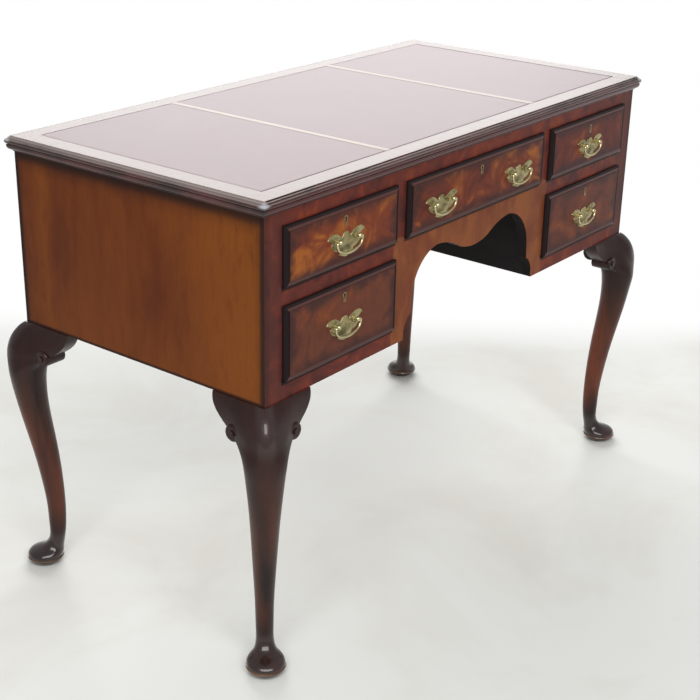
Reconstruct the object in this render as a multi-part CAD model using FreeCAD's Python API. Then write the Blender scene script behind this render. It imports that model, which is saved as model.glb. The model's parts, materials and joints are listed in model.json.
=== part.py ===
import FreeCAD, Part
import math
import os

# Kneehole writing desk with five lipped drawers, batwing pulls, a leather-lined top
# and four cabriole legs. Millimetres. +X runs along the front, the drawers face -Y,
# +Z is up and the origin is on the floor under the middle of the desk.

V = FreeCAD.Vector

# Widths across the front, from the middle of the kneehole outwards
KNEEHOLE_HALF = 195.0
STILE_W = 37.0
DRAWER_OPEN_W = 255.5
POST = 43.5

# Heights, from the floor upwards
LEG_H = 452.0
BOTTOM_RAIL_H = 33.5
LOWER_OPEN_H = 106.5
MID_RAIL_H = 38.6
UPPER_OPEN_H = 80.4
TOP_RAIL_H = 38.0
TOP_T = 13.0

# Case boards
CASE_D = 515.0
RAIL_T = 16.0
SIDE_T = 18.0
WALL_T = 18.0
BACK_T = 14.0
DUST_T = 10.0
GUIDE_H = 18.0
KICKER_W = 19.0
CENTRE_BACK_H = 132.5
TENON_L = 12.0
TENON_T = 8.0
SHOULDER = 5.0
TONGUE = 8.0

# Top board, its moulded edge, crossbanded border and leather panels
OVERHANG = 10.5
NOSE_R = 4.6
NOSE_TURN = 75.0
QUIRK = 0.5
BEAD_R = 2.6
VENEER_T = 1.5
EDGE_W = 8.5
BORDER_W = 31.5
DIVIDER_W = 12.0
CENTRE_PANEL_W = 406.0
LEATHER_T = 1.2
LEATHER_GAP = 0.4
BED_H = 11.5
BED_W = 8.5
BED_FOOT = 1.6
BED_FILLET = 1.6
SCREW_R = 2.5
SCREW_HEAD_R = 5.0
SCREW_HEAD_H = 3.0
SCREW_BITE = 8.0

# Apron over the kneehole, depths measured down from the centre drawer's opening
APRON_T = 20.0
APRON_MID = 67.5
APRON_LOBE_HALF = 43.0
APRON_LOBE_END = 59.0
APRON_CREST = 38.8
CREST_FROM_WALL = 87.0
SPANDREL_W = 18.5
SPANDREL_DROP = 138.0
SPANDREL_FOOT = 165.0
APRON_TENON_H = 26.0

# Cabriole legs: foot pad, then the ears and scrolls of the knee, measured from the case corner
FOOT_R = 32.0
FOOT_WIDEST_H = 12.0
FOOT_OFFSET = -2.0
FOOT_RING = 1.0
SHOE_R = 22.0
SHOE_H = 4.0
SHOE_ROUND = 1.0
KNEE_H = 60.0
EAR_L = 100.0
EAR_BACK = 22.0
SCROLL_R = 14.0
SCROLL_RUN = 49.0
SCROLL_DROP = 49.0
SCROLL_PROUD = 18.0
SCROLL_BACK = 22.0
SCROLL_ROUND = 4.0
NECK_PROUD = 4.0
EYE_R = 5.0
EYE_PROUD = 2.0

# Drawers
LIP = 6.0
LIP_PROUD = 7.0
LIP_EDGE = 2.0
LIP_GAP = 0.3
FIELD_INSET = 9.0
FIELD_RISE = 1.0
FRONT_IN = 15.0
FIT_SIDE = 0.8
FIT_UNDER = 0.3
FIT_TOP = 1.2
BOX_SIDE_T = 10.0
BOX_BACK_T = 9.0
BOX_BACK_DROP = 8.0
BOX_TAIL_GAP = 28.0
BOTTOM_T = 6.0
BOTTOM_UP = 8.0
GROOVE = 4.0
TAIL_L = 11.0
TAIL_PITCH = 27.0
TAIL_HALF = 6.0
TAIL_FLARE = 2.0

# Drawer locks
LOCK_W = 38.0
LOCK_H = 32.0
LOCK_T = 9.0
BOLT_W = 18.0
BOLT_T = 4.0
BOLT_L = 22.0
BOLT_THROW = 8.0
BOLT_FIT = 0.25
KEY_DROP = 19.0
KEY_R = 2.2
KEY_SLOT_W = 2.2
KEY_SLOT_L = 6.0
ESCUTCHEON_R = 4.6
ESCUTCHEON_FOOT = 6.5
ESCUTCHEON_L = 11.0
ESCUTCHEON_T = 1.2
ESCUTCHEON_SUNK = 0.8

# Batwing pulls
PULL_BELOW_MID = 3.0
CENTRE_PULL_X = 115.0
PLATE_HALF_W = 43.0
PLATE_RISE = 12.5
PLATE_DROP = 28.0
PLATE_T = 1.6
POST_HALF_SPAN = 23.0
KNOB_R = 3.8
STUD_R = 2.2
STUD_FIT = 0.2
KNOB_OUT = 7.0
KNOB_CROWN = 4.0
NUT_W = 8.0
NUT_T = 3.0
BAIL_R = 1.7
BAIL_FIT = 0.08
PIN_IN = 2.0
PIN_END_GAP = 0.5
BAIL_BEND_R = 3.0
BAIL_FLANK_R = 13.0
BAIL_FLANK_DEG = 64.5

# Planes and lines worked out from the sizes above
HALF_W = KNEEHOLE_HALF + STILE_W + DRAWER_OPEN_W + POST
HALF_D = CASE_D / 2
FRONT = -HALF_D
FRAME_BACK = FRONT + RAIL_T
BACK_IN = HALF_D - BACK_T
WALL_OUT = KNEEHOLE_HALF + WALL_T
PED_IN = KNEEHOLE_HALF + STILE_W
PED_OUT = HALF_W - POST
SIDE_IN = HALF_W - SIDE_T
POST_Y = HALF_D - POST
LOWER_Z0 = LEG_H + BOTTOM_RAIL_H
LOWER_Z1 = LOWER_Z0 + LOWER_OPEN_H
UPPER_Z0 = LOWER_Z1 + MID_RAIL_H
UPPER_Z1 = UPPER_Z0 + UPPER_OPEN_H
CASE_TOP = UPPER_Z1 + TOP_RAIL_H
HEIGHT = CASE_TOP + TOP_T
TOP_HALF_W = HALF_W + OVERHANG
TOP_HALF_D = HALF_D + OVERHANG
BOARD_FACE = HEIGHT - VENEER_T
FIELD_FACE = FRONT - LIP_PROUD - FIELD_RISE
PLATE_FACE = FIELD_FACE - PLATE_T
BAIL_AXIS_Y = PLATE_FACE - KNOB_OUT
FRONT_BACK = FRONT + FRONT_IN
BOX_END = BACK_IN - BOX_TAIL_GAP

# Drawer openings: low x, high x, low z, high z, and the pulls' distances from the middle
OPENINGS = {
    "upper_left": (-PED_OUT, -PED_IN, UPPER_Z0, UPPER_Z1, (0.0,)),
    "lower_left": (-PED_OUT, -PED_IN, LOWER_Z0, LOWER_Z1, (0.0,)),
    "centre": (-KNEEHOLE_HALF, KNEEHOLE_HALF, UPPER_Z0, UPPER_Z1, (-CENTRE_PULL_X, CENTRE_PULL_X)),
    "upper_right": (PED_IN, PED_OUT, UPPER_Z0, UPPER_Z1, (0.0,)),
    "lower_right": (PED_IN, PED_OUT, LOWER_Z0, LOWER_Z1, (0.0,)),
}


def block(x0, x1, y0, y1, z0, z1):
    """Box between two corners."""
    return Part.makeBox(x1 - x0, y1 - y0, z1 - z0, V(x0, y0, z0))


def outline(place, start, *steps):
    """Closed wire; a step is an end point for a line, or a (middle, end) pair for an arc."""
    edges = []
    here = start
    for step in steps:
        if isinstance(step[0], tuple):
            middle, there = step
            edges.append(Part.Arc(place(*here), place(*middle), place(*there)).toShape())
        else:
            there = step
            edges.append(Part.LineSegment(place(*here), place(*there)).toShape())
        here = there
    return Part.Wire(edges)


def step_end(step):
    """Point that an outline's step leads to."""
    return step[1] if isinstance(step[0], tuple) else step


def mirrored(right):
    """Steps back along the left-hand mirror image of a half outline."""
    ends = [step_end(step) for step in right]
    back = []
    for index in range(len(right) - 1, 0, -1):
        end = (-ends[index - 1][0], ends[index - 1][1])
        if isinstance(right[index][0], tuple):
            middle = right[index][0]
            back.append(((-middle[0], middle[1]), end))
        else:
            back.append(end)
    return back


def slab(wire, direction):
    """Solid made by pushing a flat outline along a direction."""
    return Part.Face(wire).extrude(direction)


def flip_x(shape):
    """Mirror image across the desk's middle plane."""
    return shape.mirror(V(0, 0, 0), V(1, 0, 0))


def flip_y(shape):
    """Mirror image from front to back."""
    return shape.mirror(V(0, 0, 0), V(0, 1, 0))


def both_sides(shape):
    """A shape and its mirror image on the other side of the kneehole."""
    return [shape, flip_x(shape)]


def save(node, *solids):
    """Write a node's solids as one file."""
    shape = solids[0] if len(solids) == 1 else Part.makeCompound(list(solids))
    shape.exportStep("parts/" + node + ".step")


def cut_all(shape, tools):
    """Take a list of shapes out of one shape."""
    for tool in tools:
        shape = shape.cut(tool)
    return shape


# Top


def moulded_ring(half_x, half_y, section):
    """Block whose four edges carry one moulding, mitred at the corners.

    section(reach) gives an outline of (distance from the middle, z) for a half width.
    """
    start, *steps = section(half_y)
    along_x = slab(outline(lambda u, z: V(-half_x, u, z), start, *steps), V(2 * half_x, 0, 0))
    start, *steps = section(half_x)
    along_y = slab(outline(lambda u, z: V(u, -half_y, z), start, *steps), V(0, 2 * half_y, 0))
    return along_x.common(along_y)


def nose_section(reach):
    """Edge of the top: a bullnose, a small bead over a quirk, and a step up to the face."""
    low = CASE_TOP
    nose_in = reach - NOSE_R
    nose_mid = low + NOSE_R

    def on_nose(degrees):
        turn = math.radians(degrees)
        return (nose_in + NOSE_R * math.cos(turn), nose_mid + NOSE_R * math.sin(turn))

    nose_top = on_nose(NOSE_TURN)
    bead_in = nose_top[0] - QUIRK - BEAD_R
    bend = BEAD_R * math.sqrt(0.5)
    right = [
        (nose_in, low),
        (on_nose(-45), (reach, nose_mid)),
        (on_nose(NOSE_TURN / 2), nose_top),
        (nose_top[0] - QUIRK, nose_top[1]),
        ((bead_in + bend, nose_top[1] + bend), (bead_in, nose_top[1] + BEAD_R)),
        (bead_in, HEIGHT),
    ]
    return closed_section(right)


def bed_section(reach):
    """Moulding under the top: fillet, quarter-round and foot against the case."""
    low = CASE_TOP - BED_H
    face = reach - BED_W
    round_low = low + BED_FILLET
    round_high = CASE_TOP - BED_FILLET
    belly = math.sqrt(0.5)
    middle = (
        face + BED_FOOT + (BED_W - BED_FOOT) * belly,
        round_high - (round_high - round_low) * belly,
    )
    right = [
        (face + BED_FOOT, low),
        (face + BED_FOOT, round_low),
        (middle, (reach, round_high)),
        (reach, CASE_TOP),
    ]
    return closed_section(right)


def closed_section(right):
    """Whole outline of a section from its right-hand half, drawn from the bottom up."""
    high = step_end(right[-1])
    return right + [(-high[0], high[1])] + mirrored(right) + [right[0]]


def border_reach():
    """Half sizes of the sunk face, and of the leathered field inside its border."""
    sunk = (TOP_HALF_W - EDGE_W, TOP_HALF_D - EDGE_W)
    field = (sunk[0] - BORDER_W, sunk[1] - BORDER_W)
    return sunk, field


def make_top(screws):
    """Moulded board, crossbanded border with its dividers, and three leather panels."""
    sunk, field = border_reach()
    recess = block(-sunk[0], sunk[0], -sunk[1], sunk[1], BOARD_FACE, HEIGHT)
    board = moulded_ring(TOP_HALF_W, TOP_HALF_D, nose_section).cut(recess)
    save("top_board", cut_all(board, screws))

    def band(a, b, c, d):
        wire = outline(lambda x, y: V(x, y, BOARD_FACE), a, b, c, d, a)
        return slab(wire, V(0, 0, VENEER_T))

    front = band((-sunk[0], -sunk[1]), (sunk[0], -sunk[1]), (field[0], -field[1]), (-field[0], -field[1]))
    right = band((sunk[0], -sunk[1]), (sunk[0], sunk[1]), (field[0], field[1]), (field[0], -field[1]))
    divider_x = CENTRE_PANEL_W / 2
    divider = block(divider_x, divider_x + DIVIDER_W, -field[1], field[1], BOARD_FACE, HEIGHT)
    save("top_border", front, flip_y(front), right, flip_x(right), divider, flip_x(divider))

    def panel(x0, x1):
        return block(
            x0 + LEATHER_GAP, x1 - LEATHER_GAP,
            -field[1] + LEATHER_GAP, field[1] - LEATHER_GAP,
            BOARD_FACE, BOARD_FACE + LEATHER_T,
        )

    save("leather_centre", panel(-divider_x, divider_x))
    side = panel(divider_x + DIVIDER_W, field[0])
    save("leather_right", side)
    save("leather_left", flip_x(side))


def make_bed_moulding():
    """Four mitred lengths of quarter-round moulding between the case and the top."""
    half_x = HALF_W + BED_W
    half_y = HALF_D + BED_W
    case = block(-HALF_W, HALF_W, -HALF_D, HALF_D, CASE_TOP - 2 * BED_H, CASE_TOP + BED_H)
    ring = moulded_ring(half_x, half_y, bed_section).cut(case)
    low = CASE_TOP - BED_H

    def mitre(a, b, c, d):
        wire = outline(lambda x, y: V(x, y, low), a, b, c, d, a)
        return ring.common(slab(wire, V(0, 0, BED_H))).Solids[0]

    inner = (HALF_W, HALF_D)
    outer = (half_x, half_y)
    front = mitre((-inner[0], -inner[1]), (inner[0], -inner[1]), (outer[0], -outer[1]), (-outer[0], -outer[1]))
    right = mitre((inner[0], -inner[1]), (inner[0], inner[1]), (outer[0], outer[1]), (outer[0], -outer[1]))
    save("bed_moulding", front, flip_y(front), right, flip_x(right))


# Case


def rail(x0, x1, z0, z1):
    """Front rail with a stub tenon on each end."""
    body = block(x0, x1, FRONT, FRAME_BACK, z0, z1)
    middle = (FRONT + FRAME_BACK) / 2
    tenon = block(
        x0 - TENON_L, x1 + TENON_L,
        middle - TENON_T / 2, middle + TENON_T / 2,
        z0 + SHOULDER, z1 - SHOULDER,
    )
    return body.fuse(tenon).removeSplitter()


def make_front_frame():
    """Top rail, pedestal rails, stiles and apron, tenoned together; returns what enters the posts."""
    top = rail(-PED_OUT, PED_OUT, UPPER_Z1, CASE_TOP)
    bottom_rail = rail(PED_IN, PED_OUT, LEG_H, LOWER_Z0)
    mid_rail = rail(PED_IN, PED_OUT, LOWER_Z1, UPPER_Z0)
    middle = (FRONT + FRAME_BACK) / 2
    stile = block(KNEEHOLE_HALF, PED_IN, FRONT, FRAME_BACK, LEG_H, UPPER_Z1)
    stile_tenon = block(
        KNEEHOLE_HALF + SHOULDER, PED_IN - SHOULDER,
        middle - TENON_T / 2, middle + TENON_T / 2,
        UPPER_Z1, UPPER_Z1 + TENON_L,
    )
    stile = stile.fuse(stile_tenon).removeSplitter()
    apron = make_apron()
    stile = cut_all(stile, [bottom_rail, mid_rail, apron])
    top = cut_all(top, both_sides(stile))
    save("apron", apron)
    save("top_rail", top)
    save("front_stiles", *both_sides(stile))
    save("pedestal_rails", *both_sides(bottom_rail), *both_sides(mid_rail))
    return [top, bottom_rail, mid_rail]


def make_apron():
    """Arched board under the centre drawer: a lobed middle, two crests and a spandrel down each stile."""
    top = UPPER_Z0
    crest_x = KNEEHOLE_HALF - CREST_FROM_WALL
    toe_x = KNEEHOLE_HALF - SPANDREL_W
    lobe = APRON_LOBE_HALF
    rise_mid = (lobe + crest_x) / 2
    rise_z = APRON_CREST + (APRON_LOBE_END - APRON_CREST) * 0.27
    shoulder = (crest_x + (toe_x - crest_x) * 0.62, APRON_CREST + (SPANDREL_DROP - APRON_CREST) * 0.2)
    hip = (toe_x - 2.0, APRON_CREST + (SPANDREL_DROP - APRON_CREST) * 0.72)
    toe_bend = (toe_x + SPANDREL_W * 0.55, SPANDREL_DROP + (SPANDREL_FOOT - SPANDREL_DROP) * 0.3)

    right = [
        (lobe, -APRON_LOBE_END),
        ((rise_mid, -rise_z), (crest_x, -APRON_CREST)),
        ((shoulder[0], -shoulder[1]), (hip[0], -hip[1])),
        (toe_x, -SPANDREL_DROP),
        ((toe_bend[0], -toe_bend[1]), (KNEEHOLE_HALF, -SPANDREL_FOOT)),
    ]
    upper = [(KNEEHOLE_HALF, 0.0), (-KNEEHOLE_HALF, 0.0), (-KNEEHOLE_HALF, -SPANDREL_FOOT)]
    steps = right[1:] + upper + mirrored(right) + [((0.0, -APRON_MID), right[0])]
    wire = outline(lambda x, z: V(x, FRONT, top + z), right[0], *steps)
    board = slab(wire, V(0, APRON_T, 0))
    middle = FRONT + RAIL_T / 2
    tenon = block(
        -KNEEHOLE_HALF - TENON_L, KNEEHOLE_HALF + TENON_L,
        middle - TENON_T / 2, middle + TENON_T / 2,
        top - SHOULDER - APRON_TENON_H, top - SHOULDER,
    )
    return board.fuse(tenon).removeSplitter()


def make_sides_and_back():
    """Side panels tongued between the corner posts, kneehole walls and back boards; returns a side panel."""
    side = block(SIDE_IN, HALF_W, -POST_Y, POST_Y, LEG_H, CASE_TOP)
    tongue_x = (SIDE_IN + HALF_W) / 2
    tongue = block(
        tongue_x - TONGUE / 2, tongue_x + TONGUE / 2,
        -POST_Y - TONGUE, POST_Y + TONGUE,
        LEG_H + SHOULDER, CASE_TOP - SHOULDER,
    )
    side = side.fuse(tongue).removeSplitter()
    save("side_panel_right", side)
    save("side_panel_left", flip_x(side))
    wall = block(KNEEHOLE_HALF, WALL_OUT, FRAME_BACK, BACK_IN, LEG_H, CASE_TOP)
    save("kneehole_wall_right", wall)
    save("kneehole_wall_left", flip_x(wall))
    pedestal_back = block(KNEEHOLE_HALF, PED_OUT, BACK_IN, HALF_D, LEG_H, CASE_TOP)
    centre_back = block(-KNEEHOLE_HALF, KNEEHOLE_HALF, BACK_IN, HALF_D, CASE_TOP - CENTRE_BACK_H, CASE_TOP)
    save("back_boards", *both_sides(pedestal_back), centre_back)
    return side


def corner_posts():
    """The four square posts that the legs carry up through the case."""
    front = block(PED_OUT, HALF_W, -HALF_D, -POST_Y, LEG_H, CASE_TOP)
    rear = flip_y(front)
    return both_sides(front) + both_sides(rear)


def make_inside():
    """Dust boards, drawer guides, kickers and the screws that hold the top; returns the screws."""
    posts = corner_posts()
    boards = []
    guides = []
    kickers = []
    for z in (LOWER_Z0, UPPER_Z0):
        board = block(WALL_OUT, SIDE_IN, FRAME_BACK, BACK_IN, z - DUST_T, z)
        boards += both_sides(cut_all(board, posts))
        outer = block(PED_OUT, SIDE_IN, -POST_Y, POST_Y, z, z + GUIDE_H)
        inner = block(WALL_OUT, PED_IN, FRAME_BACK, BACK_IN, z, z + GUIDE_H)
        guides += both_sides(outer) + both_sides(inner)
    boards.append(
        block(-KNEEHOLE_HALF, KNEEHOLE_HALF, FRONT + APRON_T, BACK_IN, UPPER_Z0 - DUST_T, UPPER_Z0)
    )
    screws = []
    rows = [
        (PED_OUT, SIDE_IN, -POST_Y, POST_Y),
        (WALL_OUT, PED_IN, FRAME_BACK, BACK_IN),
        (KNEEHOLE_HALF - KICKER_W, KNEEHOLE_HALF, FRAME_BACK, BACK_IN),
    ]
    for index, (x0, x1, y0, y1) in enumerate(rows):
        kicker = block(x0, x1, y0, y1, UPPER_Z1, CASE_TOP)
        if index == 0:
            for y in (y0 / 2, y1 / 2):
                screw = top_screw((x0 + x1) / 2, y)
                kicker = kicker.cut(screw_hole((x0 + x1) / 2, y)).cut(screw)
                screws += both_sides(screw)
        kickers += both_sides(kicker)
    save("dust_boards", *boards)
    save("drawer_guides", *guides)
    save("kickers", *kickers)
    save("top_screws", *screws)
    return screws


def top_screw(x, y):
    """Wood screw up through a kicker into the top board, its head down in a counterbore."""
    head_z = (UPPER_Z1 + CASE_TOP) / 2
    head = Part.makeCylinder(SCREW_HEAD_R, SCREW_HEAD_H, V(x, y, head_z - SCREW_HEAD_H))
    shank = Part.makeCylinder(SCREW_R, CASE_TOP + SCREW_BITE - head_z, V(x, y, head_z))
    return head.fuse(shank).removeSplitter()


def screw_hole(x, y):
    """Counterbore under a screw's head."""
    head_z = (UPPER_Z1 + CASE_TOP) / 2
    return Part.makeCylinder(SCREW_HEAD_R, head_z - UPPER_Z1, V(x, y, UPPER_Z1))


# Legs

# Stations of the cabriole shank: share of the leg's height, then the outer and inner reach
# from the case corner along the diagonal, the half width across it, the section's squareness
# (2 is an ellipse, 1 a diamond) and the width of the flat down each side
SHANK_STATIONS = [
    (0.043, 26.5, -34.0, 29.5, 2.0, 0.8),
    (0.060, 12.0, -34.5, 21.5, 2.0, 0.8),
    (0.076, -2.5, -35.5, 16.2, 2.0, 0.8),
    (0.100, -10.0, -37.5, 14.2, 2.0, 0.8),
    (0.155, -12.0, -40.5, 14.0, 2.0, 0.8),
    (0.232, -11.0, -42.0, 14.7, 2.0, 0.8),
    (0.332, -6.0, -41.0, 16.7, 2.0, 1.0),
    (0.454, 3.5, -37.0, 19.6, 2.0, 1.4),
    (0.575, 15.5, -30.5, 22.6, 2.0, 2.0),
    (0.686, 26.5, -25.0, 26.5, 1.95, 3.0),
    (0.763, 33.0, -24.5, 30.0, 1.9, 4.0),
    (0.823, 36.0, -28.0, 33.5, 1.85, 6.0),
]
# Stations of the knee, where the shank spreads into two ears: share of the knee's height below
# the case, outer and inner reach on the diagonal, then four points from the nose to an ear's tip
# and the tip's back corner, each a share of the ear's length along the case and how far it stands proud
KNEE_STATIONS = [
    (1.000, 36.6, -37.0, (-0.090, 30.0), (0.080, 29.2), (0.230, 25.6), (0.370, 20.4), (0.415, 8.0)),
    (0.833, 36.0, -43.0, (-0.030, 28.2), (0.180, 25.2), (0.360, 19.8), (0.540, 14.0), (0.565, -8.0)),
    (0.617, 33.2, -49.0, (0.030, 24.6), (0.280, 20.0), (0.515, 14.4), (0.745, 9.8), (0.750, -20.0)),
    (0.400, 27.6, -52.0, (0.070, 19.4), (0.350, 15.0), (0.645, 10.0), (0.900, 7.2), (0.890, -EAR_BACK)),
    (0.167, 17.0, -54.0, (0.090, 12.0), (0.400, 9.2), (0.690, 6.4), (0.980, 4.8), (0.970, -EAR_BACK)),
    (0.000, 3.0, -55.0, (0.080, 2.4), (0.400, 2.4), (0.700, 2.2), (1.000, 2.0), (1.000, -EAR_BACK)),
]
LEAN = math.sqrt(0.5)


def on_diagonal(out, across, z):
    """Point at a distance outwards from the front right case corner and across the diagonal."""
    return V(HALF_W + (out - across) * LEAN, -HALF_D - (out + across) * LEAN, z)


def from_case(run, proud):
    """Diagonal place of a point given by its run along the front face and how far it stands proud."""
    return ((proud - run) * LEAN, (proud + run) * LEAN)


def leg_section(z, front, back):
    """Closed section, mirrored across the diagonal: front runs from nose to side, back from side to heel."""

    def curve(points):
        spline = Part.BSplineCurve()
        spline.interpolate(Points=points)
        return spline.toShape()

    def at(side):
        return lambda point: on_diagonal(point[0], side * point[1], z)

    face = [at(-1)(point) for point in reversed(front[1:])] + [at(1)(point) for point in front]
    heel = [at(1)(point) for point in back] + [at(-1)(point) for point in reversed(back[:-1])]
    flats = [Part.LineSegment(face[-1], heel[0]).toShape(), Part.LineSegment(heel[-1], face[0]).toShape()]
    return Part.Wire([curve(face), flats[0], curve(heel), flats[1]])


def shank_section(z, outer, inner, half, square, flat):
    """Section of the shank: a squarish ellipse with a narrow flat at each side."""
    side = (outer + inner) / 2

    def quarter(start, reach, turns):
        points = []
        for turn in turns:
            share = math.radians(turn)
            out = start + (reach - start) * math.sin(share) ** (2 / square)
            points.append((out, half * math.cos(share) ** (2 / square)))
        return points

    front = [(outer, 0.0)] + quarter(side + flat / 2, outer, (67.5, 45.0, 22.5, 0.0))
    back = quarter(side - flat / 2, inner, (0.0, 45.0)) + [(inner, 0.0)]
    return leg_section(z, front, back)


def knee_section(share, outer, inner, *ear):
    """Section of the knee, from its nose out to the tips of both ears."""
    points = [from_case(run * EAR_L, proud) for run, proud in ear]
    tip_back = points[-1]
    cheek = ((tip_back[0] + inner) / 2, tip_back[1] / 2)
    return leg_section(LEG_H - share * KNEE_H, [(outer, 0.0)] + points[:-1], [tip_back, cheek, (inner, 0.0)])


def make_foot():
    """Turned pad foot on a small shoe, up to its widest ring."""
    centre = on_diagonal(FOOT_OFFSET, 0, 0)
    swell = (FOOT_R - (FOOT_R - SHOE_R) / 4, SHOE_H + (FOOT_WIDEST_H - SHOE_H) / 3)
    wire = outline(
        lambda r, z: V(centre.x + r, centre.y, z),
        (0.0, 0.0),
        (SHOE_R - SHOE_ROUND, 0.0),
        ((SHOE_R, SHOE_H / 2), (SHOE_R - SHOE_ROUND, SHOE_H)),
        (swell, (FOOT_R, FOOT_WIDEST_H)),
        (FOOT_R - FOOT_RING / 2, FOOT_WIDEST_H + FOOT_RING),
        (0.0, FOOT_WIDEST_H + FOOT_RING),
        (0.0, 0.0),
    )
    return Part.Face(wire).revolve(centre, V(0, 0, 1), 360)


def make_scroll():
    """Scroll rolled under the front ear of the right knee: a roll with an eye, and the neck that it hangs by."""

    def at(run, drop, proud=-SCROLL_BACK):
        return V(HALF_W - run, -HALF_D - proud, LEG_H - drop)

    def on_roll(degrees):
        turn = math.radians(degrees)
        return (SCROLL_RUN + SCROLL_R * math.cos(turn), SCROLL_DROP + SCROLL_R * math.sin(turn))

    out = V(0, -1, 0)
    roll = Part.makeCylinder(SCROLL_R, SCROLL_BACK + SCROLL_PROUD, at(SCROLL_RUN, SCROLL_DROP), out)
    face_y = -HALF_D - SCROLL_PROUD
    rim = [edge for edge in roll.Edges if abs(edge.BoundBox.YMax - face_y) < EYE_PROUD]
    roll = roll.makeFillet(SCROLL_ROUND, rim)
    eye = Part.makeCylinder(EYE_R, SCROLL_BACK + SCROLL_PROUD + EYE_PROUD, at(SCROLL_RUN, SCROLL_DROP), out)
    reach = SCROLL_RUN + SCROLL_R
    join = on_roll(-20)
    under = on_roll(120)
    neck_wire = outline(
        at,
        (EAR_BACK, KNEE_H * 0.75),
        (reach - SCROLL_ROUND, KNEE_H * 0.3),
        (reach, KNEE_H * 0.45),
        ((reach - SCROLL_ROUND / 2, (KNEE_H * 0.45 + join[1]) / 2), join),
        (SCROLL_RUN, SCROLL_DROP),
        under,
        (EAR_BACK, under[1] - SCROLL_ROUND),
        (EAR_BACK, KNEE_H * 0.75),
    )
    neck = slab(neck_wire, out * (SCROLL_BACK + NECK_PROUD))
    return roll.fuse([eye, neck]).removeSplitter()


def make_knee():
    """Front right shank, knee, ears and scrolls as one carved form."""
    base_r = FOOT_R - 2 * FOOT_RING
    flat = SHANK_STATIONS[0][-1]
    sections = [shank_section(FOOT_WIDEST_H, FOOT_OFFSET + base_r, FOOT_OFFSET - base_r, base_r, 2.0, flat)]
    for share, *shape in SHANK_STATIONS:
        sections.append(shank_section(share * LEG_H, *shape))
    for station in KNEE_STATIONS:
        sections.append(knee_section(*station))
    form = Part.makeLoft(sections, True, False)
    scroll = make_scroll()
    other = scroll.mirror(V(HALF_W, -HALF_D, 0), V(1, 1, 0))
    return form.fuse([scroll, other]).removeSplitter()


def make_legs(joined):
    """Four legs, each with its post, and the ears that are glued on beside their knees."""
    form = make_knee()
    reach = 2 * EAR_L
    post = block(PED_OUT, HALF_W, -HALF_D, -POST_Y, LEG_H, CASE_TOP)
    stock = block(PED_OUT, HALF_W + reach, -HALF_D - reach, -POST_Y, 0, LEG_H)
    blank = form.common(stock).fuse([make_foot(), post]).removeSplitter()
    blank = blank.cut(joined["side"])
    front_ear = form.common(block(HALF_W - reach, PED_OUT, -HALF_D - reach, -POST_Y, 0, LEG_H))
    side_ear = front_ear.mirror(V(HALF_W, -HALF_D, 0), V(1, 1, 0))
    ears = front_ear.Solids + side_ear.Solids
    front = cut_all(blank, joined["rails"])
    save("leg_front_right", front)
    save("leg_front_left", flip_x(front))
    rear = flip_y(blank)
    save("leg_rear_right", rear)
    save("leg_rear_left", flip_x(rear))
    right_side = ears + [flip_y(piece) for piece in ears]
    save("knee_brackets", *right_side, *[flip_x(piece) for piece in right_side])


# Drawers


def bolt_depth():
    """Front and back faces of a lock bolt, in the middle of its case."""
    middle = FRONT_BACK + LOCK_T / 2
    return middle - BOLT_T / 2, middle + BOLT_T / 2


def keyhole(x, z, y0, y1):
    """Round hole over a slot, through from one depth to another."""
    bow = Part.makeCylinder(KEY_R, y1 - y0, V(x, y0, z), V(0, 1, 0))
    slot = block(x - KEY_SLOT_W / 2, x + KEY_SLOT_W / 2, y0, y1, z - KEY_SLOT_L, z)
    return bow.fuse(slot).removeSplitter()


def escutcheon(x, z):
    """Keyhole-shaped plate let into the drawer face, before its own hole is cut."""
    foot = ESCUTCHEON_FOOT / 2
    shoulder = ESCUTCHEON_R * math.sqrt(0.5)
    wire = outline(
        lambda u, w: V(x + u, FIELD_FACE + ESCUTCHEON_SUNK, z + w),
        (-shoulder, -shoulder),
        ((0.0, ESCUTCHEON_R), (shoulder, -shoulder)),
        (foot, -ESCUTCHEON_L),
        (-foot, -ESCUTCHEON_L),
        (-shoulder, -shoulder),
    )
    return slab(wire, V(0, -ESCUTCHEON_T, 0))


def make_lock(x, top):
    """Lock case on the back of the drawer front, and its bolt, which catches behind the rail above."""
    y0, y1 = bolt_depth()
    case = block(x - LOCK_W / 2, x + LOCK_W / 2, FRONT_BACK, FRONT_BACK + LOCK_T, top - LOCK_H, top)
    channel = block(
        x - BOLT_W / 2 - BOLT_FIT, x + BOLT_W / 2 + BOLT_FIT,
        y0 - BOLT_FIT, y1 + BOLT_FIT,
        top - BOLT_L - BOLT_FIT, top,
    )
    bolt = block(x - BOLT_W / 2, x + BOLT_W / 2, y0, y1, top - BOLT_L, top)
    return case.cut(channel), bolt


def pull_plate(x, z):
    """Batwing back plate: a middle lobe, two scrolled wings and a pointed drop."""

    def at(across, up):
        return (across * PLATE_HALF_W, up * (PLATE_RISE if up > 0 else PLATE_DROP))

    right = [
        at(0.175, 0.44),
        at(0.256, 0.20),
        (at(0.419, 0.72), at(0.698, 1.00)),
        (at(0.884, 0.84), at(1.000, 0.40)),
        (at(0.872, 0.24), at(0.709, -0.066)),
        (at(0.765, -0.138), at(0.790, -0.279)),
        (at(0.640, -0.492), at(0.430, -0.590)),
        (at(0.365, -0.689), at(0.372, -0.803)),
        (at(0.205, -0.918), at(0.000, -1.000)),
    ]
    lobe_top = at(0.000, 0.88)
    steps = right[1:] + mirrored(right) + [(lobe_top, right[0])]
    wire = outline(lambda u, w: V(x + u, FIELD_FACE, z + w), right[0], *steps)
    return slab(wire, V(0, -PLATE_T, 0))


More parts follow.
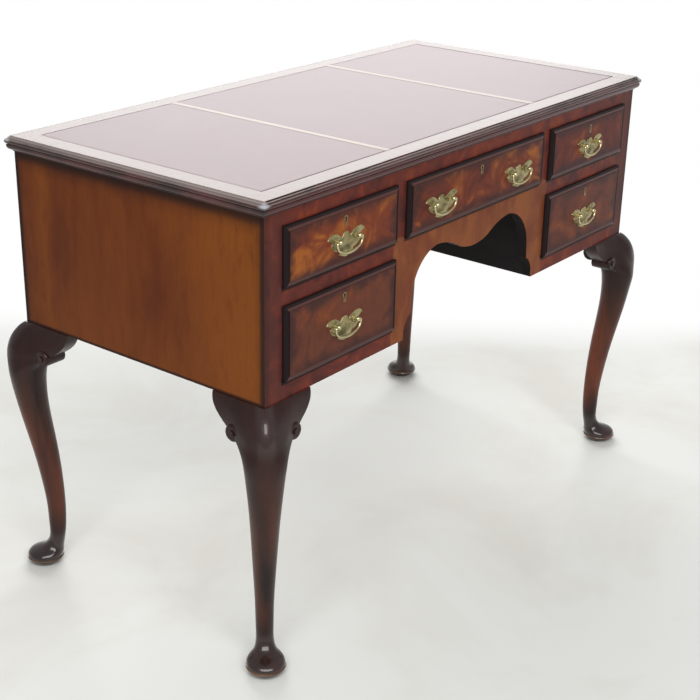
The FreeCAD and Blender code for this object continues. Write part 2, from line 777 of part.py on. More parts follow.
def pull_posts(x, z):
    """Two studs through the drawer front with bored knobs outside, and their nuts inside."""
    posts = []
    nuts = []
    nut_face = FRONT_BACK
    for side in (-1, 1):
        px = x + side * POST_HALF_SPAN
        stud_l = nut_face + NUT_T - PLATE_FACE
        stud = Part.makeCylinder(STUD_R, stud_l, V(px, PLATE_FACE, z), V(0, 1, 0))
        knob_l = KNOB_OUT + KNOB_CROWN
        knob = Part.makeCylinder(KNOB_R, knob_l, V(px, PLATE_FACE - knob_l, z), V(0, 1, 0))
        crown = [e for e in knob.Edges if abs(e.BoundBox.YMax - (PLATE_FACE - knob_l)) < BAIL_FIT]
        knob = knob.makeFillet(KNOB_R * 0.6, crown)
        bore_end = V(px - side * (PIN_IN + PIN_END_GAP), BAIL_AXIS_Y, z)
        bore = Part.makeCylinder(BAIL_R + BAIL_FIT, PIN_IN + 2 * KNOB_R, bore_end, V(side, 0, 0))
        posts.append(knob.fuse(stud).removeSplitter().cut(bore))
        nut = block(px - NUT_W / 2, px + NUT_W / 2, nut_face, nut_face + NUT_T, z - NUT_W / 2, z + NUT_W / 2)
        nuts.append(nut.cut(stud))
    return posts, nuts


def stud_holes(x, z, radius):
    """Clearance holes for a pull's two studs, through plate and drawer front."""
    holes = []
    for side in (-1, 1):
        start = V(x + side * POST_HALF_SPAN, PLATE_FACE - 1, z)
        holes.append(Part.makeCylinder(radius, FRONT_BACK - PLATE_FACE + 2, start, V(0, 1, 0)))
    return holes


def make_bail(x, z):
    """Swan-neck bail: pins turned in through the knobs, two flanks and a low sagging grip."""
    turn = math.radians(BAIL_FLANK_DEG)
    pin_l = PIN_IN + KNOB_R
    bend_x = POST_HALF_SPAN + KNOB_R
    flank_x = bend_x + BAIL_BEND_R
    flank_end = (
        flank_x - BAIL_FLANK_R * (1 - math.cos(turn)),
        -BAIL_BEND_R - BAIL_FLANK_R * math.sin(turn),
    )
    grip_r = flank_end[0] / math.cos(turn)

    def at(u, w):
        return V(x + u, BAIL_AXIS_Y, z + w)

    def bend(start, along, centre, degrees):
        ring = Part.Face(Part.Wire(Part.makeCircle(BAIL_R, start, along)))
        return ring.revolve(centre, V(0, 1, 0), degrees)

    pin = Part.makeCylinder(BAIL_R, pin_l, at(bend_x - pin_l, 0), V(1, 0, 0))
    neck = bend(at(bend_x, 0), V(1, 0, 0), at(bend_x, -BAIL_BEND_R), 90)
    flank = bend(
        at(flank_x, -BAIL_BEND_R), V(0, 0, -1), at(flank_x - BAIL_FLANK_R, -BAIL_BEND_R), BAIL_FLANK_DEG
    )
    grip = bend(
        at(*flank_end),
        V(-math.sin(turn), 0, -math.cos(turn)),
        at(0, flank_end[1] + grip_r * math.sin(turn)),
        180 - 2 * BAIL_FLANK_DEG,
    )
    arm = [pin, neck, flank]
    other_arm = [piece.mirror(V(x, 0, 0), V(1, 0, 0)) for piece in arm]
    return grip.fuse(arm + other_arm).removeSplitter()


def box_side(x0, z0, z1):
    """Left side of a drawer box, with tails that lock into the back of the front."""
    side = block(x0, x0 + BOX_SIDE_T, FRONT_BACK, BOX_END, z0, z1)
    count = max(2, round((z1 - z0) / TAIL_PITCH))
    pitch = (z1 - z0) / count
    for index in range(count):
        middle = z0 + pitch * (index + 0.5)
        wire = outline(
            lambda y, z: V(x0, y, z),
            (FRONT_BACK, middle - TAIL_HALF),
            (FRONT_BACK - TAIL_L, middle - TAIL_HALF - TAIL_FLARE),
            (FRONT_BACK - TAIL_L, middle + TAIL_HALF + TAIL_FLARE),
            (FRONT_BACK, middle + TAIL_HALF),
            (FRONT_BACK, middle - TAIL_HALF),
        )
        side = side.fuse(slab(wire, V(BOX_SIDE_T, 0, 0)))
    return side.removeSplitter()


def make_drawer(name):
    """One drawer: lipped front, dovetailed box, bottom, lock with bolt, and its pulls."""
    x0, x1, z0, z1, pulls = OPENINGS[name]
    middle = (x0 + x1) / 2
    in0 = x0 + FIT_SIDE
    in1 = x1 - FIT_SIDE
    low = z0 + FIT_UNDER
    top = z1 - FIT_TOP
    pull_z = (z0 + z1) / 2 - PULL_BELOW_MID
    key_z = z1 + LIP - KEY_DROP

    lip = block(x0 - LIP, x1 + LIP, FRONT - LIP_PROUD, FRONT - LIP_GAP, z0 - LIP, z1 + LIP)
    face = FRONT - LIP_PROUD
    rim = [e for e in lip.Edges if all(abs(v.Y - face) < LIP_GAP for v in e.Vertexes)]
    lip = lip.makeFillet(LIP_PROUD - LIP_EDGE, rim)
    inset = FIELD_INSET - LIP
    field = block(x0 + inset, x1 - inset, FIELD_FACE, FRONT - LIP_GAP, z0 + inset, z1 - inset)
    body = block(in0, in1, FRONT - LIP_GAP, FRONT_BACK, low, top)
    front = lip.fuse(field).fuse(body).removeSplitter()

    bottom_z = z0 + BOTTOM_UP
    side_in = BOX_SIDE_T - GROOVE
    bottom = block(in0 + side_in, in1 - side_in, FRONT_BACK - GROOVE, BOX_END, bottom_z, bottom_z + BOTTOM_T)
    left = box_side(in0, low, top)
    right = left.mirror(V(middle, 0, 0), V(1, 0, 0))
    back = block(
        in0 + side_in, in1 - side_in,
        BOX_END - BOX_BACK_T, BOX_END,
        bottom_z + BOTTOM_T, top - BOX_BACK_DROP,
    )
    front = cut_all(front, [left, right, bottom])
    left = cut_all(left, [bottom, back])
    right = cut_all(right, [bottom, back])

    case, bolt = make_lock(middle, top)
    plate = escutcheon(middle, key_z)
    hole = keyhole(middle, key_z, FIELD_FACE - ESCUTCHEON_T, FRONT_BACK)
    front = cut_all(front, [plate, hole])
    save("drawer_lock_" + name, case, plate.cut(hole))
    save("lock_bolt_" + name, bolt)

    fittings = []
    for index, offset in enumerate(pulls):
        x = middle + offset
        holes = stud_holes(x, pull_z, STUD_R + STUD_FIT)
        front = cut_all(front, holes)
        posts, nuts = pull_posts(x, pull_z)
        fittings += [cut_all(pull_plate(x, pull_z), holes)] + posts + nuts
        suffix = name if len(pulls) == 1 else name + ("_left", "_right")[index]
        save("bail_" + suffix, make_bail(x, pull_z))
    save("pull_plate_" + name, *fittings)
    save("drawer_front_" + name, front)
    save("drawer_box_" + name, left, right, back)
    save("drawer_bottom_" + name, bottom)


def main():
    """Build every piece of the desk."""
    os.makedirs("parts", exist_ok=True)
    screws = make_inside()
    make_top(screws)
    make_bed_moulding()
    rails = make_front_frame()
    side = make_sides_and_back()
    make_legs({"side": side, "rails": rails})
    for name in OPENINGS:
        make_drawer(name)
    print("desk", 2 * TOP_HALF_W, "x", 2 * TOP_HALF_D, "x", HEIGHT, "mm over the top")


if __name__ == "__main__":
    main()
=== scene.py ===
"""Looks of a kneehole writing desk: woods, leather, brass pulls and a plain stage."""
import json
import math
from functools import reduce

import bmesh
import bpy
from bpy.props import FloatProperty, FloatVectorProperty, PointerProperty
from mathutils import Matrix, Vector

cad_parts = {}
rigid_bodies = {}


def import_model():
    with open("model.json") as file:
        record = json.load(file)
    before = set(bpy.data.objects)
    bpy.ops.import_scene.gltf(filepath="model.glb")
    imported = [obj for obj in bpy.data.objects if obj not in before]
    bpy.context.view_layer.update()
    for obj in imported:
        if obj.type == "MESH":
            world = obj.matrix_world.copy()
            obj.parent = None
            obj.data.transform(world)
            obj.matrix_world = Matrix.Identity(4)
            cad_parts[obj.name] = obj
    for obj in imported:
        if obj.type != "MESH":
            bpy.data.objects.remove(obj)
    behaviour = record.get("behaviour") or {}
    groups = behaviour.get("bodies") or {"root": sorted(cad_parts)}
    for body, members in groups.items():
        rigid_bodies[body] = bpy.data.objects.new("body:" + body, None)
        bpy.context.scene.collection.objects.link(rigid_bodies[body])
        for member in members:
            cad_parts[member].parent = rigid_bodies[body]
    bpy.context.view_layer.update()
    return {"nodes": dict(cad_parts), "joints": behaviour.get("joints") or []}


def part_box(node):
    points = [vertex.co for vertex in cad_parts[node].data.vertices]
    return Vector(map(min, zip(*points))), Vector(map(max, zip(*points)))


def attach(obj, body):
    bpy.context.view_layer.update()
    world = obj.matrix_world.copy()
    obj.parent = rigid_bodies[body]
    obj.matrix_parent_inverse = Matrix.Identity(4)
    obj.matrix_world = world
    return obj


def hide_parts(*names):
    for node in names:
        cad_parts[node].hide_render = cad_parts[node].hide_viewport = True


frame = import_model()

bl_info = {
    "name": "Kneehole desk looks",
    "version": (1, 0, 0),
    "blender": (4, 5, 0),
    "location": "3D View > Sidebar > Desk",
    "description": "Finishes a kneehole desk's woods, leather and brass, and sets its stage",
    "category": "Object",
}

# Planes of the desk, read from the frame
CASE_LOW, CASE_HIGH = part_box("side_panel_right")
CASE_X = CASE_HIGH.x
CASE_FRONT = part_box("top_rail")[0].y
CASE_BOTTOM = CASE_LOW.z
CASE_TOP = CASE_HIGH.z
KNEEHOLE_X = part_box("front_stiles")[1].x
APRON_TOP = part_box("apron")[1].z
LEATHER_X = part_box("leather_right")[1].x
LEATHER_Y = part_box("leather_right")[1].y
PANEL_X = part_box("leather_centre")[1].x
TOP_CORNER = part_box("top_board")[1]
TOP_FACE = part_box("top_border")[1].z
FIELD_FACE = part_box("drawer_front_centre")[0].y

# Drawers, each with how warm its veneer is, and how deep a red the redder ones have
DRAWERS = {
    "upper_left": 1.0, "lower_left": 0.25, "centre": 0.95, "upper_right": 0.55, "lower_right": 0.35,
}
DEEP_RED = {"upper_right": 0.85, "lower_right": 0.15, "centre": 0.35}
LEGS = ["leg_front_left", "leg_front_right", "leg_rear_left", "leg_rear_right"]
BAIL_JOINTS = [joint for joint in frame["joints"] if joint["name"].startswith("bail_swing_")]

# Directions that a board's grain can run
ALONG_X = (0.07, 1.0, 1.0)
ALONG_Y = (1.0, 0.07, 1.0)
ALONG_Z = (1.0, 1.0, 0.07)

# Shine of the finishes
POLISH = {"specular_ior_level": 0.07, "coat_weight": 0.04, "coat_roughness": 0.12}
LEG_POLISH = {"specular_ior_level": 0.28, "coat_roughness": 0.12}
EDGE_POLISH = {"specular_ior_level": 0.50}
WAX = {"specular_ior_level": 0.58}
LEATHER_SHEEN = {"specular_ior_level": 0.57}
BARE_WOOD = {"specular_ior_level": 0.2}
VENEER_ROUGH = 0.34

# Half the blur of a line between two finishes
HAIR = 0.0005

# Bands of the top's edge, as depths under its face: begins, full, begins to fade, gone; the bead's
# and the nose's bands carry painted highlights
BEAD_HIGHLIGHT = (0.0018, 0.0022, 0.0028, 0.0034)
NOSE_HIGHLIGHT = (0.0046, 0.0050, 0.0058, 0.0068)
UNDER_NOSE = (0.0068, 0.0085)

# Seam round the leather: its band outwards from the leather, and where the long edges begin
SEAM = (-0.0006, 0.0, 0.0008, 0.0014)
LONG_EDGE = (LEATHER_Y - 0.004, LEATHER_Y - 0.003)

# Heights on a leg, and how wide its ridge is rubbed and how far it is rounded at the knee
CALF = (0.05, 0.12, 0.22, 0.38)
FOOT = (0.045, 0.065)
FOOT_RING = (0.0100, 0.0112, 0.0132, 0.0150)
KNEE = (CASE_BOTTOM - 0.110, CASE_BOTTOM - 0.050)
RIDGE = (CASE_BOTTOM - 0.075, CASE_BOTTOM - 0.040)
RIDGE_W = (0.010, 0.024)
KNEE_ROUNDING = 0.014
ROUNDING_SAMPLES = 4

# Width of a drawer's lip, and the reach of the painted shadow along its foot
LIP_W = 0.009
LIP_SHADOW = (0.0042, 0.0062)

# Distance in front of which brass is a post or bail, and where the rim of a plate lies
PLATE_Y = (FIELD_FACE - 0.0040, FIELD_FACE - 0.0020)
PLATE_RIM_Y = (FIELD_FACE - 0.0014, FIELD_FACE - 0.0010)

# Modelling of the brass: how near counts as joined, and which edges count as flat, rim and sharp
MERGE = 1e-6
SAME_PLANE = 1e-5
FLAT_ANGLE = math.radians(1)
RIM_ANGLE = math.radians(60)
SHARP_ANGLE = math.radians(35)

# Post: radius in balls and rise above the plate; its neck in balls; degrees round its ball
POST_FLANGE = ((0.0, 0.0), (1.35, 0.0), (1.35, 0.0006), (1.15, 0.0011), (0.68, 0.0017))
POST_NECK = (0.62, 0.92)
POST_BALL = range(60, -91, -15)
POST_STEPS = 20

# Bends of a bail, from its pin to the start of the grip
BAIL_SIDES = 14
BAIL_PIN = 0.0210
BAIL_NECK = 0.0268
BAIL_NECK_R = 0.0030
BAIL_FLANK_R = 0.0130
BAIL_FLANK_TURN = math.radians(64.5)

# Stage: half the floor, the blur of its far edge, the softboxes and the camera's sensor
FLOOR_HALF = 12.0
WALL_BLUR = 0.25
KEY_BOX = {"place": (-2.2, -2.0, 2.5), "target": (0.0, 0.0, 0.4), "width": 3.6, "height": 1.6}
BACK_BOX = {"place": (2.06, 1.87, 2.0), "target": (0.0, 0.0, CASE_TOP), "width": 2.9, "height": 1.6}
SENSOR = 36.0
WHITE = (1.0, 1.0, 1.0)


def tone(red, green, blue):
    """Linear colour of an ordinary 0 to 255 screen colour."""

    def linear(level):
        share = level / 255
        return share / 12.92 if share <= 0.04045 else ((share + 0.055) / 1.055) ** 2.4

    return (linear(red), linear(green), linear(blue))


def colour_of(name, description, *levels):
    """Colour that a user may change, from its 0 to 255 screen levels."""
    return FloatVectorProperty(
        name=name, description=description, default=tone(*levels), size=3, subtype="COLOR",
        min=0.0, max=1.0,
    )


def length_of(name, description, default):
    """Length that a user may change, in metres."""
    return FloatProperty(
        name=name, description=description, default=default, unit="LENGTH", precision=4
    )


def angle_of(name, description, degrees):
    """Angle that a user may change."""
    return FloatProperty(
        name=name, description=description, default=math.radians(degrees), subtype="ANGLE"
    )


class DeskWoods(bpy.types.PropertyGroup):
    """Colours of the desk's woods."""

    side_gold: colour_of("Side gold", "Golden parts of the side veneer", 124, 68, 22)
    side_light: colour_of("Side light", "Light streaks of the side veneer", 106, 54, 21)
    side_dark: colour_of("Side dark", "Dark streaks of the side veneer", 86, 39, 18)
    # Painted shade under the top, and darkening towards the ends of the sides
    side_shade: colour_of("Side shade", "Darkening of the sides outwards", 42, 22, 17)
    # Painted shadow in a dark band right under the top
    side_painted_shadow: colour_of("Side under", "Dark band of the sides under the top", 26, 19, 17)
    side_rim: colour_of("Side rim", "Dark rim of the sides", 34, 22, 20)
    frame_light: colour_of("Frame light", "Orange-red patches of the rails", 122, 54, 34)
    frame_red: colour_of("Frame red", "Red of the rails and posts", 98, 44, 36)
    frame_dark: colour_of("Frame dark", "Dark streaks of the rails and posts", 72, 36, 33)
    post_dull: colour_of("Post dull", "Duller veneer of the corner posts", 72, 42, 40)
    post_corner: colour_of("Post corner", "Dark outer edge of the posts", 40, 28, 28)
    apron_light: colour_of("Apron light", "Golden clouds of the apron", 136, 78, 42)
    apron_dark: colour_of("Apron dark", "Brown of the apron and its stiles", 112, 58, 36)
    figure_light: colour_of("Figure light", "Orange patches of the drawers", 152, 86, 36)
    figure_red: colour_of("Figure red", "Red-brown of the drawers", 114, 54, 34)
    figure_dull: colour_of("Figure dull", "Brown of the duller drawers", 94, 54, 40)
    figure_dark: colour_of("Figure dark", "Dark patches of the drawers", 62, 33, 30)
    figure_deep: colour_of("Figure deep", "Deep red of the redder drawers", 92, 36, 28)
    figure_rim: colour_of("Figure rim", "Drawers' veneer near the lips", 52, 34, 35)
    lip: colour_of("Lip", "Inner half of the upper and lower lips", 78, 46, 42)
    # Painted shade on the outer half of the lips and on the end lips
    lip_painted_shade: colour_of("Lip dark", "Outer half of the lips, and the end lips", 30, 21, 22)
    leg: colour_of("Leg", "Polish of the legs", 44, 24, 21)
    leg_dark: colour_of("Leg dark", "Dark streaks of the legs", 24, 14, 13)
    leg_pores: colour_of("Leg pores", "Fine lines and pores of the legs", 20, 11, 10)
    leg_worn: colour_of("Leg worn", "Reddish wear on the legs", 106, 52, 30)
    knee: colour_of("Knee", "Red-black of the knees", 40, 16, 14)
    foot_ring: colour_of("Foot ring", "Rubbed line round the pad of a foot", 140, 106, 80)
    moulding: colour_of("Moulding", "Top's edge and the moulding under it", 78, 40, 38)
    moulding_dark: colour_of("Moulding dark", "Dark streaks of the mouldings", 38, 22, 21)
    moulding_red: colour_of("Moulding red", "Moulding under the front edge", 72, 20, 22)
    # Colour of the painted highlights on the crests and at the ends of the top's edge
    moulding_highlight: colour_of("Moulding rubbed", "Rubbed parts of the edge", 142, 130, 126)
    # Worn corners of the top, paled towards bluish white by a painted highlight
    corner_wear_and_glint: colour_of("Corner worn", "Pale worn corners of the top", 188, 191, 198)
    border: colour_of("Border", "Crossbanded border of the top", 107, 84, 74)
    strip: colour_of("Strip", "Pale strips between the leather panels", 134, 108, 90)
    back_light: colour_of("Back light", "Light bands of the back boards", 112, 74, 48)
    back_dark: colour_of("Back dark", "Dark bands of the back boards", 74, 46, 30)
    carcase: colour_of("Carcase", "Unpolished inner boards", 138, 104, 70)
    lining: colour_of("Lining", "Drawer sides and bottoms", 176, 138, 92)
    # Near-black stain that also paints the shade of the kneehole, of hidden edges and under the
    # drawers' lips
    stain_and_shade: colour_of("Stain", "Stain in the kneehole and on hidden edges", 24, 20, 21)
    stain_and_shade_dark: colour_of("Stain dark", "Dark bands of the stained walls", 16, 14, 15)


class DeskFittings(bpy.types.PropertyGroup):
    """Leather, metal and the sizes of the pulls."""

    leather: colour_of("Leather", "Leather of the top", 118, 87, 91)
    seam: colour_of("Seam", "Dark red line round the leather", 62, 26, 30)
    brass: colour_of("Brass", "Worn brass of posts and bails", 208, 198, 154)
    plate: colour_of("Plate", "Duller, greenish brass of the plates", 176, 165, 120)
    # Rubbed rims of the plates, paled towards white by a painted highlight
    plate_rim_wear_and_glint: colour_of("Plate rim", "Rubbed rims of the plates", 238, 230, 200)
    tarnish: colour_of("Tarnish", "Brown-green in the brass's hollows", 88, 84, 58)
    escutcheon: colour_of("Escutcheon", "Browned brass of the locks", 150, 130, 98)
    steel: colour_of("Steel", "Screws", 150, 148, 144)
    plate_bevel: length_of("Plate bevel", "Rounding of a back plate's rim", 0.0013)
    post_span: length_of("Post span", "From a pull's middle to each post", 0.023)
    post_radius: length_of("Post radius", "Ball at the end of a post", 0.0039)
    bail_radius: length_of("Bail radius", "Half thickness of a bail at its ends", 0.0017)
    bail_swell: FloatProperty(
        name="Bail swell", description="How much thicker a bail is in its middle", default=1.45,
        subtype="FACTOR",
    )


class DeskStage(bpy.types.PropertyGroup):
    """Floor, lights and camera."""

    floor: colour_of("Floor", "Pale floor", 226, 227, 223)
    floor_stain: colour_of("Floor stain", "Faint blotches on the floor", 206, 202, 192)
    wall_distance: length_of("Wall distance", "Where the floor turns white behind the desk", 0.70)
    sky: FloatProperty(name="Sky", description="Light from all round", default=0.40)
    mirrored_sky: FloatProperty(
        name="Mirrored sky", description="More of that light in reflections", default=0.1
    )
    key_power: FloatProperty(
        name="Key", description="Softbox over the left front", default=108.0, unit="POWER"
    )
    back_power: FloatProperty(
        name="Back", description="Softbox behind the desk", default=87.0, unit="POWER"
    )
    eye: FloatVectorProperty(
        name="Eye", description="Place of the camera", default=(-1.9076, -1.4679, 1.3263),
        subtype="TRANSLATION",
    )
    yaw: angle_of("Yaw", "Camera turned right from facing the drawers", 52.44)
    pitch: angle_of("Pitch", "Camera tilted down", 23.10)
    roll: angle_of("Roll", "Camera leaning about its view", 1.19)
    lens: FloatProperty(
        name="Lens", description="Focal length in millimetres", default=72.8,
        subtype="DISTANCE_CAMERA",
    )


class Sock:
    """A shader socket that takes part in Python expressions."""

    def __init__(self, tree, socket=None):
        self.tree = tree
        self.socket = socket

    def node(self, kind, settings=(), inputs=(), output=0):
        """Add any node: its settings are set first, then the values or links of its sockets."""
        made = self.tree.nodes.new(kind)
        for name, value in dict(settings).items():
            setattr(made, name, value)
        for key, value in dict(inputs).items():
            target = made.inputs[key]
            if isinstance(value, Sock):
                self.tree.links.new(value.socket, target)
            elif target.type == "RGBA":
                target.default_value = (*value[:3], 1.0)
            else:
                target.default_value = value
        return Sock(self.tree, made.outputs[output] if made.outputs else None)

    def math(self, operation, *values):
        """Math node on values and sockets."""
        return self.node("ShaderNodeMath", {"operation": operation}, enumerate(values))

    def __add__(self, other):
        return self.math("ADD", self, other)

    def __radd__(self, other):
        return self.math("ADD", other, self)

    def __sub__(self, other):
        return self.math("SUBTRACT", self, other)

    def __rsub__(self, other):
        return self.math("SUBTRACT", other, self)

    def __mul__(self, other):
        return self.math("MULTIPLY", self, other)

    def __rmul__(self, other):
        return self.math("MULTIPLY", other, self)

    def __abs__(self):
        return self.math("ABSOLUTE", self)


def least(one, other):
    """Smaller of two values."""
    return one.math("MINIMUM", one, other)


def most(one, other):
    """Larger of two values."""
    return one.math("MAXIMUM", one, other)


def ease(value, low, high):
    """Smooth step from 0 at low to 1 at high."""
    inputs = {"Value": value, "From Min": low, "From Max": high}
    return value.node("ShaderNodeMapRange", {"interpolation_type": "SMOOTHSTEP"}, inputs)


def fade(value, low, high):
    """Smooth step from 1 at low to 0 at high."""
    return 1 - ease(value, low, high)


def band(value, begin, full, waning, end):
    """Smooth band that is 1 from full to waning and 0 outside begin and end."""
    return ease(value, begin, full) * fade(value, waning, end)


def mix(share, under, over):
    """Colour over another colour by a share."""
    return share.node("ShaderNodeMix", {"data_type": "RGBA"}, {0: share, 6: under, 7: over}, 2)


def place_at(spot, scale=(1.0, 1.0, 1.0), shift=(0.0, 0.0, 0.0), turn=0.0):
    """Coordinates turned about the depth, then scaled along the axes and moved."""
    if turn:
        spot = spot.node("ShaderNodeMapping", {}, {"Vector": spot, "Rotation": (0.0, turn, 0.0)})
    return spot.node("ShaderNodeMapping", {}, {"Vector": spot, "Scale": scale, "Location": shift})


def noise(spot, scale, detail=2.0, rough=0.5, warp=0.0):
    """Soft clouds, or streaks where the place is squeezed along the grain."""
    inputs = {
        "Vector": spot, "Scale": scale, "Detail": detail, "Roughness": rough, "Distortion": warp,
    }
    return spot.node("ShaderNodeTexNoise", {}, inputs)


def cells(spot, scale):
    """Distance to the nearest of many scattered points, for pebbles."""
    return spot.node("ShaderNodeTexVoronoi", {}, {"Vector": spot, "Scale": scale})


def start(name):
    """New material, with its place on the object and that place's x, y and z."""
    material = bpy.data.materials.new(name)
    material.use_nodes = True
    material.node_tree.nodes.clear()
    root = Sock(material.node_tree)
    spot = root.node("ShaderNodeTexCoord", output="Object")
    axes = [spot.node("ShaderNodeSeparateXYZ", (), {0: spot}, index) for index in range(3)]
    return material, spot, axes


def finish(colour, rough, height=None, depth=0.0, normal=None, **fixed):
    """Principled shader; its bump may start from a normal, and the rest goes to other sockets."""
    inputs = {"Base Color": colour, "Roughness": rough}
    if height is not None:
        bump = {"Height": height, "Distance": depth, "Strength": 1.0}
        if normal is not None:
            bump["Normal"] = normal
        inputs["Normal"] = colour.node("ShaderNodeBump", {}, bump)
    for name, value in fixed.items():
        inputs[name.replace("_", " ").title().replace("Ior", "IOR")] = value
    return colour.node("ShaderNodeBsdfPrincipled", {}, inputs)


def surface(shader):
    """End a material in a shader."""
    shader.node("ShaderNodeOutputMaterial", {}, {"Surface": shader})


def blend(share, under, over):
    """Fixed colour between two others."""
    return tuple(low + (high - low) * share for low, high in zip(under, over))


def darker(colour, share):
    """Fixed colour at a share of another's strength."""
    return tuple(share * level for level in colour)


def three_shades(value, dark, middle, light):
    """Colour that climbs from dark through middle to light as a noise value climbs."""
    colour = mix(ease(value, 0.32, 0.50), dark, middle)
    return mix(ease(value, 0.50, 0.66), colour, light)


def fine_lines(spot, along, colour, dark, strength):
    """Fine lines and open pores along the grain, laid over a colour; with their height."""
    length = place_at(spot, along)
    lines = noise(length, 260.0, detail=3.0, rough=0.65)
    pores = ease(noise(length, 800.0, detail=1.0), 0.60, 0.72)
    colour = mix(ease(lines, 0.38, 0.70) * strength, colour, dark)
    return mix(pores * strength, colour, dark), lines * 0.6 - pores * 0.7


def grain(spot, along, dark, light):
    """Plain sawn wood: broad bands, fine lines and pores along one direction."""
    bands = noise(place_at(spot, along), 24.0, detail=4.0, rough=0.6, warp=0.6)
    return fine_lines(spot, along, mix(ease(bands, 0.34, 0.68), dark, light), dark, 0.4)


def dress(material, *names):
    """Give CAD nodes a finish."""
    for name in names:
        node = frame["nodes"][name]
        if not node.material_slots:
            node.data.materials.append(material)
        for place in node.material_slots:
            place.material = material


def edge_moulding(woods):
    """Dark moulding with painted highlights on its crests and at the ends of the top; its corners
    worn pale, with a painted highlight.
    """
    material, spot, (x, y, z) = start("dark_moulding")
    streaks = noise(place_at(spot, (0.3, 0.3, 1.0)), 40.0, detail=4.0, rough=0.6)
    colour = mix(ease(streaks, 0.35, 0.68), woods.moulding_dark, woods.moulding)
    depth = TOP_FACE - z
    # Painted highlights on the bead and the nose of the edge
    crest_highlights = most(band(depth, *BEAD_HIGHLIGHT), band(depth, *NOSE_HIGHLIGHT) * 0.5)
    colour = mix(crest_highlights * ease(streaks, 0.25, 0.50), colour, woods.moulding_highlight)
    at_end = ease(abs(x), TOP_CORNER.x - 0.012, TOP_CORNER.x - 0.009)
    # Painted highlight that pales the edge at the ends of the top
    end_highlight = at_end * fade(depth - streaks * 0.001, 0.0, 0.0080)
    colour = mix(end_highlight * 0.9, colour, woods.moulding_highlight)
    # Worn corners, paled towards bluish white by a painted highlight
    to_corner = (TOP_CORNER.x - abs(x)) + (TOP_CORNER.y - abs(y))
    worn = fade(to_corner + streaks * 0.012, 0.010, 0.022) * fade(depth, 0.006, 0.010)
    colour = mix(worn * 0.75, colour, woods.corner_wear_and_glint)
    on_front = ease(CASE_FRONT - y, -HAIR, HAIR) * fade(abs(x), CASE_X, CASE_X + 0.004)
    colour = mix(on_front * ease(depth, *UNDER_NOSE) * 0.75, colour, woods.moulding_red)
    flat = fade(depth, 0.0002, 0.0006)
    colour = mix(flat, colour, woods.border)
    surface(finish(colour, 0.20 + streaks * 0.08 + flat * 0.24, **EDGE_POLISH))
    return material


def at_sitter(y):
    """Share of a seam that shows: all of it at the sitter's edge, least at the back."""
    return 0.4 + 0.6 * ease(-1 * y, *LONG_EDGE) - 0.3 * ease(y, *LONG_EDGE)


def border_veneer(woods, fittings):
    """Crossbanded border, its grain out to each edge; pale strips; a seam round the leather."""
    material, spot, (x, y, z) = start("crossbanded_border")
    across = noise(place_at(spot, ALONG_Y), 60.0, detail=3.0, rough=0.55)
    along = noise(place_at(spot, ALONG_X), 60.0, detail=3.0, rough=0.55)
    mitre = LEATHER_X - LEATHER_Y
    at_ends = ease(abs(x) - abs(y), mitre - HAIR, mitre + HAIR)
    streaks = across * (1 - at_ends) + along * at_ends
    colour = mix(ease(streaks, 0.36, 0.62), darker(woods.border, 0.84), woods.border)
    outside = most(abs(x) - LEATHER_X, abs(y) - LEATHER_Y)
    colour = mix(fade(outside, *SEAM[:2]), colour, woods.strip)
    seam = band(outside, *SEAM) * at_sitter(y)
    colour = mix(seam, colour, fittings.seam)
    surface(finish(colour, 0.42 + streaks * 0.04 + seam * 0.45, **WAX))
    return material


def leather(fittings):
    """Worn leather: fine pebbles, soft stains, a dark seam and a faint one beside the strips."""
    material, spot, (x, y, z) = start("worn_leather")
    stains = noise(spot, 5.0, detail=5.0, rough=0.62, warp=0.8)
    pebbles = cells(spot, 720.0)
    colour = mix(ease(stains, 0.35, 0.70), darker(fittings.leather, 0.88), fittings.leather)
    inward = least(LEATHER_X - abs(x), LEATHER_Y - abs(y))
    seam = fade(inward, 0.0014, 0.0026) * at_sitter(y)
    beside = fade(abs(abs(x) - PANEL_X), 0.0005, 0.0050)
    colour = mix(most(seam, beside * 0.50), colour, fittings.seam)
    rough = 0.48 + stains * 0.04 + seam * 0.4
    surface(finish(colour, rough, pebbles, depth=0.00010, **LEATHER_SHEEN))
    return material


def rounded_normal(spot, share):
    """Normal of the surface, as if its ridges were rounded where the share is 1."""
    plain = spot.node("ShaderNodeNewGeometry", output="Normal")
    rounded = spot.node(
        "ShaderNodeBevel", {"samples": ROUNDING_SAMPLES}, {"Radius": KNEE_ROUNDING}
    )
    inputs = {0: share, 4: plain, 5: rounded}
    return spot.node("ShaderNodeMix", {"data_type": "VECTOR"}, inputs, 1)


